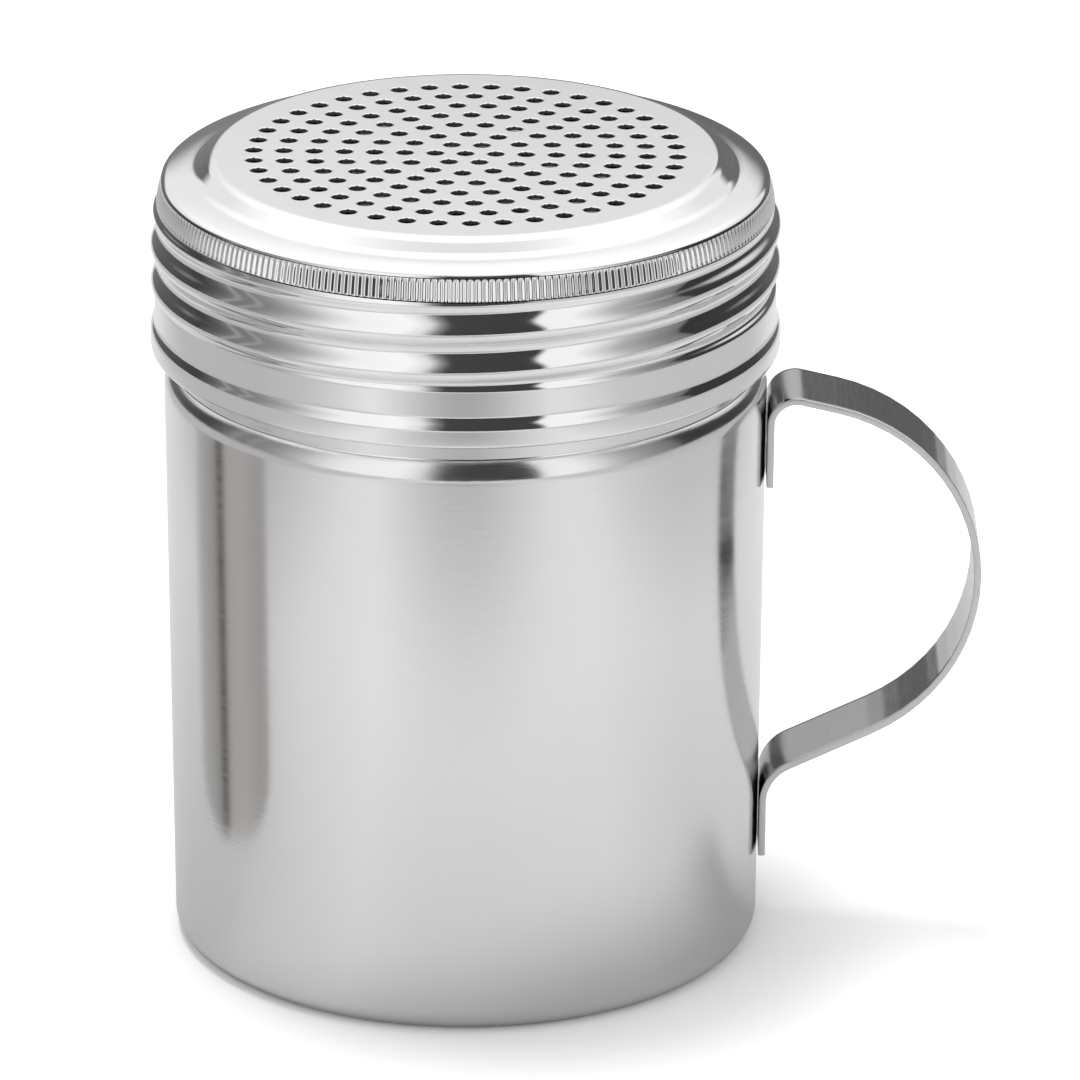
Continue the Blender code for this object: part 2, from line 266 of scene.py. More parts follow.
# Its two lower corners are round, and wider than high
BOARD_CORNER = 17 * MM
BOARD_CORNER_FLATTENING = 0.5
BOARD_CORNER_STEPS = 12
BOARD_SHADES = (
    (0.0, (0.44, 0.42, 0.41)),
    (0.10, (0.42, 0.40, 0.39)),
    (0.30, (0.52, 0.50, 0.49)),
    (0.50, (0.50, 0.48, 0.47)),
    (0.54, (0.12, 0.10, 0.09)),
    (0.60, (0.13, 0.11, 0.10)),
    (0.65, (0.38, 0.37, 0.36)),
    (0.9, (0.50, 0.50, 0.50)),
    (1.0, (0.70, 0.70, 0.70)),
)


# Outlines

def arc(centre, radius, start, end):
    """Points on an arc from one angle to another, both ends included."""
    steps = max(2, math.ceil(abs(end - start) / BEND_STEP))
    points = []
    for i in range(steps + 1):
        angle = start + (end - start) * i / steps
        points.append((centre[0] + radius * math.cos(angle), centre[1] + radius * math.sin(angle)))
    return points


def straight(start, end, longest=None):
    """A run with a supporting point close to each end, and rows between them where asked."""
    length = math.dist(start, end)
    stops = [0.0, SUPPORT, length - SUPPORT, length] if length > 3 * SUPPORT else [0.0, length]
    if longest:
        count = max(1, math.ceil(length / longest))
        stops = [length * i / count for i in range(count + 1)]
    return [
        (start[0] + (end[0] - start[0]) * s / length, start[1] + (end[1] - start[1]) * s / length)
        for s in stops
    ]


def join(*runs):
    """The runs as one path, without points that repeat."""
    points = []
    for run in runs:
        for point in run:
            if not points or math.dist(point, points[-1]) > JOIN_WITHIN:
                points.append(point)
    return points


def offset(path, distance):
    """The path moved to its right-hand side by the distance."""
    moved = []
    for i, point in enumerate(path):
        normals = []
        for a, b in ((i - 1, i), (i, i + 1)):
            if a < 0 or b >= len(path):
                continue
            length = math.dist(path[a], path[b])
            normals.append(((path[b][1] - path[a][1]) / length, (path[a][0] - path[b][0]) / length))
        across = (sum(n[0] for n in normals), sum(n[1] for n in normals))
        size = math.hypot(*across)
        across = (across[0] / size, across[1] / size)
        reach = distance / (across[0] * normals[0][0] + across[1] * normals[0][1])
        moved.append((point[0] + across[0] * reach, point[1] + across[1] * reach))
    return moved


def filleted(corners, radii):
    """A polyline whose inner corners are rounded to the radii."""
    path = [corners[0]]
    for before, corner, after, radius in zip(corners, corners[1:], corners[2:], radii):
        incoming = math.atan2(corner[1] - before[1], corner[0] - before[0])
        outgoing = math.atan2(after[1] - corner[1], after[0] - corner[0])
        turn = math.remainder(outgoing - incoming, 2 * math.pi)
        setback = radius * math.tan(abs(turn) / 2)
        start = (
            corner[0] - setback * math.cos(incoming),
            corner[1] - setback * math.sin(incoming),
        )
        side = math.copysign(math.pi / 2, turn)
        centre = (
            start[0] + radius * math.cos(incoming + side),
            start[1] + radius * math.sin(incoming + side),
        )
        path += arc(centre, radius, incoming - side, incoming - side + turn)
    path.append(corners[-1])
    return path


def ease(value, low, high):
    """0 up to low and 1 from high, with a smooth rise between them."""
    share = min(max((value - low) / (high - low), 0.0), 1.0)
    return share * share * (3 - 2 * share)


def thread_wave(angle, height):
    """1 on the crest of the helix and -1 midway between two turns."""
    turn_from_front = (math.remainder(angle + math.pi / 2, 2 * math.pi)) / (2 * math.pi)
    return math.cos(2 * math.pi * ((height - THREAD_CREST_HEIGHT) / THREAD_PITCH - turn_from_front))


def strength(height, low, high, fade):
    """1 between two heights, fading to 0 just inside each."""
    return ease(height, low, low + fade) * (1 - ease(height, high - fade, high))


# Meshes

def new_piece(name, bm, smooth_angle=SHARP_ANGLE):
    """An object of the mesh, smooth except where faces meet at more than the angle."""
    mesh = bpy.data.meshes.new(name)
    bmesh.ops.recalc_face_normals(bm, faces=bm.faces)
    bm.to_mesh(mesh)
    bm.free()
    for face in mesh.polygons:
        face.use_smooth = True
    mesh.set_sharp_from_angle(angle=smooth_angle)
    piece = bpy.data.objects.new(name, mesh)
    bpy.context.scene.collection.objects.link(piece)
    return piece


def ring(bm, radius, height, count, change=None):
    """A ring of points, each moved in or out by the change that is given for its angle."""
    points = []
    for i in range(count):
        angle = 2 * math.pi * i / count
        reach = radius + (change(angle) if change else 0.0)
        points.append(bm.verts.new((reach * math.cos(angle), reach * math.sin(angle), height)))
    return points


def skin(bm, lower, upper):
    """Faces between two rings; one may have a whole multiple of the other's points."""
    if len(lower) < len(upper):
        lower, upper = upper, lower
    many, few = len(lower), len(upper)
    step = many // few
    for i in range(few):
        a, b = upper[i], upper[(i + 1) % few]
        if step == 1:
            bm.faces.new((a, b, lower[(i + 1) % many], lower[i]))
            continue
        half = step // 2
        run = [lower[(i * step + k) % many] for k in range(step + 1)]
        for k in range(half):
            bm.faces.new((a, run[k], run[k + 1]))
        bm.faces.new((a, run[half], b))
        for k in range(half, step):
            bm.faces.new((b, run[k], run[k + 1]))


def skin_all(bm, rings):
    for one, other in zip(rings, rings[1:]):
        skin(bm, one, other)


def cap(bm, edge_ring):
    """A flat disc inside a ring, as rings that get closer to the middle."""
    radius = edge_ring[0].co.to_2d().length
    height = edge_ring[0].co.z
    last = edge_ring
    for share, count in CAP_RINGS:
        inner = ring(bm, radius * share, height, count)
        skin(bm, last, inner)
        last = inner
    centre = bm.verts.new((0.0, 0.0, height))
    for i in range(len(last)):
        bm.faces.new((last[i], last[(i + 1) % len(last)], centre))


# Cup

def cup_outline():
    """(radius, height) from the inner base's flat, over the mouth, to the flat that it stands on."""
    corner = (CUP_BASE_RADIUS - CUP_BASE_CORNER, CUP_BASE_CORNER)
    lower = (CUP_WALL_RADIUS - SHOULDER_OUTER_BEND, CUP_WALL_HEIGHT)
    rise = SHOULDER_BENDS * math.sin(SHOULDER_ANGLE)
    upper = (NECK_RADIUS + SHOULDER_INNER_BEND, CUP_WALL_HEIGHT + rise)
    bead_bottom = CUP_HEIGHT - MOUTH_BEAD_HEIGHT
    neck_top = bead_bottom - MOUTH_BEAD_TAPER
    outside = join(
        arc(corner, CUP_BASE_CORNER, -math.pi / 2, 0),
        straight((CUP_BASE_RADIUS, CUP_BASE_CORNER), (CUP_WALL_RADIUS, CUP_WALL_HEIGHT)),
        arc(lower, SHOULDER_OUTER_BEND, 0, SHOULDER_ANGLE),
        arc(upper, SHOULDER_INNER_BEND, math.pi + SHOULDER_ANGLE, math.pi),
        straight((NECK_RADIUS, CUP_WALL_HEIGHT + rise), (NECK_RADIUS, neck_top), THREAD_ROW),
    )
    inside = offset(outside, -CUP_SHEET)
    bead_reach = NECK_RADIUS + MOUTH_BEAD_REACH
    bead_round = (CUP_SHEET + MOUTH_BEAD_REACH) / 2
    bead = join(
        arc((bead_reach - bead_round, CUP_HEIGHT - bead_round), bead_round, math.pi, 0),
        [(bead_reach, bead_bottom)],
    )
    return join(inside, bead, reversed(outside))


def build_cup():
    top = CUP_HEIGHT - NECK_THREAD_DROP
    low = top - NECK_THREAD_LENGTH
    bm = bmesh.new()
    rings = []
    for radius, height in cup_outline():
        amount = strength(height, low, top, NECK_THREAD_FADE)

        def ridge(angle, amount=amount, height=height):
            return amount * NECK_THREAD_DEPTH * (1 + thread_wave(angle, height)) / 2

        rings.append(ring(bm, radius, height, AROUND, ridge if amount > 0 else None))
    skin_all(bm, rings)
    cap(bm, rings[0])
    cap(bm, rings[-1])
    return new_piece("cup_shell", bm)


# Lid

def lid_top():
    """The upper face, from the raised crown over the domed ring and down the leaning knurl."""
    crown_edge = (CROWN_RADIUS + CROWN_BEND * math.tan(CROWN_SLOPE / 2), CROWN_RISE)
    foot = (crown_edge[0] + (CROWN_RISE - RING_RISE) / math.tan(CROWN_SLOPE), RING_RISE)
    edge = (LID_KNURL_RADIUS - (KNURL_DROP - EDGE_DROP) * math.tan(KNURL_LEAN), -EDGE_DROP)
    ring_middle = ((foot[0] + edge[0]) / 2, (foot[1] + edge[1]) / 2 + RING_DOME)
    corners = [
        (CROWN_RADIUS, CROWN_RISE),
        crown_edge,
        foot,
        ring_middle,
        edge,
        (LID_KNURL_RADIUS, -KNURL_DROP),
    ]
    return join(filleted(corners, (CROWN_BEND, CROWN_BEND, RING_BEND, LID_CORNER)))


def hole_centres():
    """One hole in the middle and rings of six, twelve, eighteen and so on."""
    centres = [(0.0, 0.0)]
    for number in range(1, HOLE_RINGS + 1):
        count = number * HOLES_IN_FIRST_RING
        for i in range(count):
            angle = HOLE_PATTERN_TURN + 2 * math.pi * i / count
            reach = number * HOLE_SPACING
            centres.append((reach * math.cos(angle), reach * math.sin(angle)))
    return centres


def circle(centre, radius, count):
    return [
        (
            centre[0] + radius * math.cos(2 * math.pi * i / count),
            centre[1] + radius * math.sin(2 * math.pi * i / count),
        )
        for i in range(count)
    ]


def plate(bm, edge_ring, hole_radius, flange, height):
    """A flat plate with holes inside a ring. Returns the ring of points round each hole."""
    centres = hole_centres()
    count = len(edge_ring)
    points = [Vector(vert.co.to_2d()) for vert in edge_ring]
    loops = [list(range(count))]
    for centre in centres:
        first = len(points)
        points += [Vector(p) for p in circle(centre, hole_radius + flange, HOLE_SIDES)]
        loops.append(list(range(first, first + HOLE_SIDES)))
    verts, _, faces, _, _, _ = delaunay_2d_cdt(points, [], loops, CDT_INSIDE, CDT_WITHIN)
    made = list(edge_ring) + [bm.verts.new((p.x, p.y, height)) for p in verts[count:]]
    for face in faces:
        middle = sum((verts[i] for i in face), Vector((0, 0))) / len(face)
        if not in_a_hole(middle, centres, hole_radius + flange):
            bm.faces.new([made[i] for i in face])
    edges = []
    for loop, centre in zip(loops[1:], centres):
        edges.append([bm.verts.new((*p, height)) for p in circle(centre, hole_radius, HOLE_SIDES)])
        skin(bm, [made[i] for i in loop], edges[-1])
    return edges


def in_a_hole(point, centres, radius):
    """Whether the point is in a hole of the nearest rings."""
    reach = point.length
    number = round(reach / HOLE_SPACING)
    for near in (number - 1, number, number + 1):
        if near < 0 or near > HOLE_RINGS:
            continue
        first = 0 if near == 0 else 1 + HOLES_IN_FIRST_RING * near * (near - 1) // 2
        count = max(1, HOLES_IN_FIRST_RING * near)
        for centre in centres[first:first + count]:
            if math.hypot(point.x - centre[0], point.y - centre[1]) < radius * HOLE_SHARE:
                return True
    return False


def knurl_rings(bm, start, end, base_height):
    """Upright ribs, round in section, that fade in at the top and end roundly at the bottom."""
    rings = []
    for share, depth in RIB_DEPTH_SHARES:
        barrel = 4 * RIB_BARREL * share * (1 - share)
        radius = start[0] + (end[0] - start[0]) * share + barrel
        height = base_height + start[1] + (end[1] - start[1]) * share

        def rib(angle, depth=depth):
            return -depth * RIB_DEPTH * (1 - math.cos(angle * RIBS)) / 2

        rings.append(ring(bm, radius, height, RIBS * RIB_SAMPLES, rib))
    return rings


def build_lid():
    bm = bmesh.new()
    up = LID_RING_HEIGHT
    top = up - LID_THREAD_DROP
    low = top - LID_THREAD_LENGTH
    middle = LID_GROOVE_RADIUS + LID_THREAD_DEPTH / 2
    thread_end = LID_THREAD_DROP + LID_THREAD_LENGTH
    hem_top = LID_SKIRT - HEM_HEIGHT
    fold = (LID_BAND_RADIUS, LID_SHEET - LID_SKIRT)

    def threaded(radius, drop, change=0.0):
        height = up + drop
        amount = strength(height, low, top, LID_THREAD_FADE)
        share = (height - low) / LID_THREAD_LENGTH
        plain = LID_BAND_RADIUS + (LID_KNURL_RADIUS - LID_BAND_RADIUS) * share

        def groove(angle):
            return amount * (middle + thread_wave(angle, height) * LID_THREAD_DEPTH / 2 - plain)

        return ring(bm, radius + change, height, AROUND, groove if amount > 0 else None)

    top_run = lid_top()
    knurl_start = top_run[-2]
    plate_edge = (CROWN_RADIUS - SUPPORT, CROWN_RISE)
    rings = [ring(bm, radius, up + drop, AROUND) for radius, drop in [plate_edge] + top_run[:-2]]
    rings += knurl_rings(bm, knurl_start, top_run[-1], up)
    rib_end = LID_KNURL_RADIUS - RIB_DEPTH * RIB_END_INSET
    rings.append(ring(bm, rib_end, up - KNURL_DROP, RIBS * RIB_SAMPLES))

    skirt_start = (LID_KNURL_RADIUS, -LID_THREAD_DROP)
    skirt = straight(skirt_start, (LID_BAND_RADIUS, -thread_end), THREAD_ROW)
    for radius, drop in skirt:
        blend = ease(-drop, LID_THREAD_DROP, LID_THREAD_DROP + UNDER_RIBS_BLEND)
        rings.append(threaded(radius, drop, -(1 - blend) * RIB_DEPTH * UNDER_RIBS_INSET))
    bend = LID_SHEET / 2 / (1 - math.cos(HEM_LEAN))
    flank_height = 2 * bend * math.sin(HEM_LEAN)
    flank = join(
        straight((LID_BAND_RADIUS, -thread_end - SUPPORT), (LID_BAND_RADIUS, -hem_top)),
        arc((LID_BAND_RADIUS + bend, -hem_top), bend, math.pi, math.pi + HEM_LEAN),
        arc((LID_HEM_RADIUS - bend, -hem_top - flank_height), bend, HEM_LEAN, 0),
        arc(fold, LID_SHEET, 0, -math.pi),
    )
    rings += [ring(bm, radius, up + drop, AROUND) for radius, drop in flank]

    plain_skirt = join(
        top_run,
        skirt[::2],
        [(LID_BAND_RADIUS, -thread_end), fold],
    )
    inside = list(reversed(offset(plain_skirt, LID_SHEET)))
    for radius, drop in inside:
        rings.append(threaded(radius, drop))
    shown = len(rings) - len(inside)
    skin_all(bm, rings[:shown])
    outer = plate(bm, rings[0], HOLE_DIAMETER / 2 + HOLE_EDGE, HOLE_FLANGE, rings[0][0].co.z)
    outer_faces = len(bm.faces)
    skin_all(bm, rings[shown - 1:])
    inner = plate(bm, rings[-1], HOLE_DIAMETER / 2, HOLE_FLANGE, rings[-1][0].co.z)
    # The inside faces take the second material, whose dark colour is painted shade
    for face in list(bm.faces)[outer_faces:]:
        face.material_index = 1

    for number, centre in enumerate(hole_centres()):
        walls = [outer[number]]
        for turn in HOLE_EDGE_TURNS:
            angle = math.radians(turn)
            reach = HOLE_DIAMETER / 2 + HOLE_EDGE * (1 - math.sin(angle))
            height = rings[0][0].co.z - HOLE_EDGE * (1 - math.cos(angle))
            walls.append([bm.verts.new((*p, height)) for p in circle(centre, reach, HOLE_SIDES)])
        skin_all(bm, walls)
        skin(bm, walls[-1], inner[number])
        # The hole's lower wall takes it too: painted shade inside the hole
        for face in list(bm.faces)[-HOLE_SIDES:]:
            face.material_index = 1
    return new_piece("lid_cap", bm)


# Handle

def cup_wall_radius(height):
    share = (height - CUP_BASE_CORNER) / (CUP_WALL_HEIGHT - CUP_BASE_CORNER)
    return CUP_BASE_RADIUS + (CUP_WALL_RADIUS - CUP_BASE_RADIUS) * share


def handle_path():
    """The middle of the strip's thickness, from the end of the upper foot to the lower one's."""
    clear = WELD_GAP + HANDLE_SHEET / 2

    def on_wall(height):
        return (cup_wall_radius(height) + clear, height)

    upper = on_wall(CUP_WALL_HEIGHT - UPPER_FOOT_DROP)
    lower = on_wall(LOWER_FOOT_HEIGHT)
    fall = math.tan(UPPER_ARM_FALL)
    rise = math.tan(LOWER_ARM_RISE)
    reach = (upper[1] + fall * upper[0] - lower[1] + rise * lower[0]) / (fall + rise)
    meeting = (reach, upper[1] - fall * (reach - upper[0]))
    half_turn = (math.pi - UPPER_ARM_FALL - LOWER_ARM_RISE) / 2
    loop_radius = LOOP_SHARE * math.dist(upper, meeting) / math.tan(half_turn)
    corners = [
        on_wall(upper[1] - UPPER_FOOT_LENGTH),
        upper,
        meeting,
        lower,
        on_wall(lower[1] - LOWER_FOOT_LENGTH),
    ]
    return filleted(corners, (UPPER_FOOT_BEND, loop_radius, LOWER_FOOT_BEND))


def resampled(path, longest):
    """The path with its long runs cut into shorter ones."""
    points = [path[0]]
    for a, b in zip(path, path[1:]):
        count = max(1, math.ceil(math.dist(a, b) / longest))
        for i in range(1, count + 1):
            points.append((a[0] + (b[0] - a[0]) * i / count, a[1] + (b[1] - a[1]) * i / count))
    return points


def strap_section():
    """(across, out) points round a strip with rounded edges, finely divided across its faces."""
    edge = HANDLE_EDGE_ROUND
    flat = HANDLE_WIDTH / 2 - edge
    level = HANDLE_SHEET / 2 - edge
    turns = [math.radians(turn) for turn in HANDLE_EDGE_TURNS]
    half = [
        (-flat + 2 * flat * i / HANDLE_STRIPS, HANDLE_SHEET / 2)
        for i in range(HANDLE_STRIPS + 1)
    ]
    half += [(flat + edge * math.sin(a), level + edge * math.cos(a)) for a in turns[1:]]
    half += [(flat + edge * math.cos(a), -level - edge * math.sin(a)) for a in turns[:-1]]
    return half + [(-across, -out) for across, out in half]


def weld_dent(across, height):
    """Depth of the shallow dent that each spot weld leaves on a foot's outer face."""
    upper_top = CUP_WALL_HEIGHT - UPPER_FOOT_DROP - UPPER_FOOT_BEND
    feet = (
        (upper_top - UPPER_FOOT_LENGTH + UPPER_FOOT_BEND, upper_top),
        (LOWER_FOOT_HEIGHT - LOWER_FOOT_LENGTH, LOWER_FOOT_HEIGHT - LOWER_FOOT_BEND / 2),
    )
    dent = 0.0
    for low, high in feet:
        for share in WELD_SHARES:
            distance = math.hypot(across, height - (low + (high - low) * share))
            dent += WELD_DIMPLE * (1 - ease(distance, WELD_SPOT * WELD_SPOT_FLAT, WELD_SPOT))
    return dent


def build_handle():
    path = resampled(handle_path(), HANDLE_STEP)
    section = strap_section()
    bm = bmesh.new()
    loops = []
    for i, (x, z) in enumerate(path):
        a = path[max(i - 1, 0)]
        b = path[min(i + 1, len(path) - 1)]
        length = math.dist(a, b)
        out = (-(b[1] - a[1]) / length, (b[0] - a[0]) / length)
        on_foot = x < path[0][0] + FOOT_WITHIN
        loop = []
        for across, thick in section:
            outer_face = thick > (HANDLE_SHEET - HANDLE_EDGE_ROUND) / 2
            reach = thick - weld_dent(across, z) if on_foot and outer_face else thick
            loop.append(bm.verts.new((x + out[0] * reach, across, z + out[1] * reach)))
        loops.append(loop)
    skin_all(bm, loops)
    for loop in (loops[0], loops[-1]):
        bm.faces.new(loop)
    bm.normal_update()
    for face in bm.faces:
        # The faces get the darker steel with painted shade; the cut edges, facing across, the
        # lighter rough steel
        face.material_index = 1 if abs(face.normal.y) > EDGE_FACING else 0
    piece = new_piece("handle_strip", bm, HANDLE_SHARP_ANGLE)
    edges = piece.modifiers.new("Cut ends", "BEVEL")
    edges.width = CUT_END_ROUND
    edges.segments = 2
    edges.limit_method = "ANGLE"
    edges.angle_limit = CUT_END_ANGLE
    return piece


# Materials

def new_material(name):
    material = bpy.data.materials.new(name)
    material.use_nodes = True
    tree = material.node_tree
    return material, tree, tree.nodes["Principled BSDF"].inputs


def node(tree, kind, **settings):
    made = tree.nodes.new(kind)
    for key, value in settings.items():
        setattr(made, key, value)
    return made


def feed(tree, value, socket):
    """Links another node's output to the socket, or sets the socket to a plain value."""
    if hasattr(value, "links"):
        tree.links.new(value, socket)
    else:
        socket.default_value = value


def coordinates(tree, kind):
    """The X, Y and Z of a texture coordinate."""
    place = node(tree, "ShaderNodeTexCoord")
    apart = node(tree, "ShaderNodeSeparateXYZ")
    tree.links.new(place.outputs[kind], apart.inputs["Vector"])
    return [apart.outputs[axis] for axis in "XYZ"]


def maths(tree, operation, *values):
    made = node(tree, "ShaderNodeMath", operation=operation)
    for number, value in enumerate(values):
        feed(tree, value, made.inputs[number])
    return made.outputs["Value"]


def ranged(tree, value, low, high, to_low, to_high, interpolation="LINEAR"):
    made = node(tree, "ShaderNodeMapRange", interpolation_type=interpolation)
    made.inputs["From Min"].default_value = low
    made.inputs["From Max"].default_value = high
    made.inputs["To Min"].default_value = to_low
    made.inputs["To Max"].default_value = to_high
    tree.links.new(value, made.inputs["Value"])
    return made.outputs["Result"]


def mixed(tree, kind, share, one, other):
    """A mix of two colours or two numbers. The node has sockets of its own for each kind."""
    made = node(tree, "ShaderNodeMix", data_type=kind)
    first, second, result = {"RGBA": (6, 7, 2), "FLOAT": (2, 3, 0)}[kind]
    feed(tree, share, made.inputs[0])
    feed(tree, one, made.inputs[first])
    feed(tree, other, made.inputs[second])
    return made.outputs[result]


def ramp(tree, share, stops):
    """A colour by a share. Stops are (position, value) or (position, colour), from 0 to 1."""
    made = node(tree, "ShaderNodeValToRGB")
    elements = made.color_ramp.elements
    while len(elements) > 1:
        elements.remove(elements[-1])
    for number, (position, value) in enumerate(stops):
        element = elements[0] if number == 0 else elements.new(position)
        element.position = position
        colour = value if isinstance(value, tuple) else (value, value, value)
        element.color = (*colour, 1.0)
    tree.links.new(share, made.inputs["Fac"])
    return made.outputs["Color"]


def scaled_noise(tree, scale, size, detail, rough):
    """Noise in the object's own space, stretched by the scale."""
    place = node(tree, "ShaderNodeTexCoord")
    stretch = node(tree, "ShaderNodeMapping")
    stretch.inputs["Scale"].default_value = scale
    noise = node(tree, "ShaderNodeTexNoise")
    noise.inputs["Scale"].default_value = size
    noise.inputs["Detail"].default_value = detail
    noise.inputs["Roughness"].default_value = rough
    tree.links.new(place.outputs["Object"], stretch.inputs["Vector"])
    tree.links.new(stretch.outputs["Vector"], noise.inputs["Vector"])
    return noise.outputs["Fac"]


def brushed_steel(name, dark, light, smooth, rough, lines_along, grain, bump):
    """Polished stainless sheet: fine drawn lines, soft clouding and uneven polish."""
    material, tree, inputs = new_material(name)
    inputs["Metallic"].default_value = 1.0
    lines = scaled_noise(tree, lines_along, grain, detail=4.0, rough=0.6)
    cloud = scaled_noise(tree, NO_LINES, CLOUD_SIZE, detail=3.0, rough=0.5)
    colour = mixed(tree, "RGBA", cloud, (*dark, 1.0), (*light, 1.0))
    tree.links.new(colour, inputs["Base Color"])
    both = mixed(tree, "FLOAT", CLOUD_SHARE, lines, cloud)
    polish = ranged(tree, both, NOISE_LOW, NOISE_HIGH, smooth, rough)
    tree.links.new(polish, inputs["Roughness"])
    bumps = node(tree, "ShaderNodeBump")
    bumps.inputs["Strength"].default_value = bump
    bumps.inputs["Distance"].default_value = BUMP_HEIGHT
    tree.links.new(lines, bumps.inputs["Height"])
    tree.links.new(bumps.outputs["Normal"], inputs["Normal"])
    return material


def dress(piece, body, cad_node, slot_name, *materials):
    """Gives the piece its materials and its body, and hides the CAD node it stands for. The slot
    name is not used.
    """
    for material in materials:
        piece.data.materials.append(material)
    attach(piece, body)
    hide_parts(cad_node)


def build_object():
    cup_steel = brushed_steel(
        "satin_cup_steel", dark=(0.66, 0.66, 0.66), light=(0.72, 0.72, 0.72),
        smooth=0.10, rough=0.19, lines_along=ROUND_LINES, grain=FINE_GRAIN, bump=0.25,
    )
    lid_steel = brushed_steel(
        "bright_lid_steel", dark=(0.70, 0.70, 0.71), light=(0.76, 0.76, 0.77),
        smooth=0.05, rough=0.10, lines_along=ROUND_LINES, grain=FINE_GRAIN, bump=0.15,
    )
    # Lid's inside and the holes' lower walls: rougher steel, with a dark colour that is painted
    # shade
    inside_steel = brushed_steel(
        "lid_inside_painted_shade_steel", dark=(0.16, 0.16, 0.16), light=(0.24, 0.24, 0.24),
        smooth=0.40, rough=0.55, lines_along=ROUND_LINES, grain=FINE_GRAIN, bump=0.2,
    )
    # Strap faces: satin steel whose colour, much darker than the cup's, is painted shade
    handle_steel = brushed_steel(
        "strap_painted_shade_steel", dark=(0.34, 0.345, 0.355), light=(0.41, 0.41, 0.415),
        smooth=0.12, rough=0.20, lines_along=CROSS_LINES, grain=FINE_GRAIN, bump=0.3,
    )
    edge_steel = brushed_steel(
        "tumbled_edge_steel", dark=(0.56, 0.545, 0.53), light=(0.70, 0.685, 0.67),
        smooth=0.32, rough=0.48, lines_along=NO_LINES, grain=EDGE_GRAIN, bump=0.5,
    )
    dress(build_cup(), "cup", "cup_body", "cup_steel", cup_steel)
    dress(build_handle(), "cup", "handle_strap", "handle_steel", handle_steel, edge_steel)
    dress(build_lid(), "lid", "screw_lid", "lid_steel", lid_steel, inside_steel)


# Studio

def build_camera():
    right = Vector((1, 0, 0))
    up = Vector((0, math.sin(ELEVATION), math.cos(ELEVATION)))
    ahead = Vector((0, math.cos(ELEVATION), -math.sin(ELEVATION)))
    x_axis = math.cos(ROLL) * right + math.sin(ROLL) * up
    y_axis = -math.sin(ROLL) * right + math.cos(ROLL) * up
    eye = CAMERA_RIGHT * x_axis + CAMERA_UP * y_axis - CAMERA_BACK * ahead
    data = bpy.data.cameras.new("camera")
    data.lens = LENS_MM
    data.sensor_width = SENSOR_MM
    data.clip_start = NEAREST
    data.clip_end = FARTHEST
    camera = bpy.data.objects.new("camera", data)
    camera.matrix_world = Matrix((
        (x_axis.x, y_axis.x, -ahead.x, eye.x),
        (x_axis.y, y_axis.y, -ahead.y, eye.y),
        (x_axis.z, y_axis.z, -ahead.z, eye.z),
        (0, 0, 0, 1),
    ))
    bpy.context.scene.collection.objects.link(camera)
    bpy.context.scene.camera = camera


def distance(tree, across, along):
    """How far off a point lies that is so far across and so far along."""
    squares = maths(tree, "POWER", across, 2.0)
    squares = maths(tree, "MULTIPLY_ADD", along, along, squares)
    return maths(tree, "SQRT", squares)


def by_azimuth(tree, x, y, table, peak=1.0):
    """A table's value, as a share of the peak, in the direction of a point seen from the axis."""
    azimuth = maths(tree, "ARCTAN2", x, maths(tree, "MULTIPLY", y, -1.0))
    share = maths(tree, "MULTIPLY_ADD", azimuth, 0.5 / math.pi, 0.5)
    return ramp(tree, share, [((a + 180) / 360, value / peak) for a, value in table])


def build_floor():
    """A pale table top, whose painted shades only reflections show and whose lift only the camera
    does.
    """
    bm = bmesh.new()
    half = FLOOR_WIDTH / 2
    corners = (
        (-half, FLOOR_FRONT), (half, FLOOR_FRONT),
        (half, FLOOR_BACK), (-half, FLOOR_BACK),
    )
    bm.faces.new([bm.verts.new((x, y, 0.0)) for x, y in corners])
    floor = new_piece("floor", bm)
    material, tree, inputs = new_material("floor_white")
    inputs["Roughness"].default_value = FLOOR_ROUGHNESS
    inputs["Specular IOR Level"].default_value = FLOOR_SPECULAR
    inputs["Emission Color"].default_value = (1.0, 1.0, 1.0, 1.0)
    path = node(tree, "ShaderNodeLightPath")
    x, y, _ = coordinates(tree, "Object")
    from_axis = distance(tree, x, y)
    # Painted shade: the camera's glow is weaker close to the object, deepening its shadow there
    lift = ranged(
        tree, from_axis, FLOOR_LIFT_STARTS, FLOOR_LIFT_ENDS, FLOOR_LIFT_NEAR, FLOOR_LIFT_FAR
    )
    lift = maths(tree, "MULTIPLY", path.outputs["Is Camera Ray"], lift)
    tree.links.new(lift, inputs["Emission Strength"])
    from_patch = distance(
        tree,
        maths(tree, "SUBTRACT", x, SHADE_PLACE[0]),
        maths(tree, "SUBTRACT", y, SHADE_PLACE[1]),
    )
    patch = ranged(tree, from_patch, 0.0, SHADE_RADIUS, 1 - SHADE_DEPTH, 1.0, "SMOOTHSTEP")
    near = ranged(tree, from_axis, NEAR_SHADE_STARTS, NEAR_SHADE_ENDS, NEAR_SHADE, 1.0)
    aside = maths(tree, "ABSOLUTE", x)
    sides = ranged(tree, aside, SIDE_SHADE_STARTS, SIDE_SHADE_ENDS, 1.0, SIDE_SHADE)
    shade = maths(tree, "MULTIPLY", patch, near)
    shade = maths(tree, "MULTIPLY", shade, by_azimuth(tree, x, y, FLOOR_AROUND))
    shade = maths(tree, "MULTIPLY", shade, sides)
    # Glossy rays see the painted shades; other rays the plain white
    white = mixed(tree, "FLOAT", path.outputs["Is Glossy Ray"], FLOOR_WHITE, shade)
    tree.links.new(white, inputs["Base Color"])
    floor.data.materials.append(material)


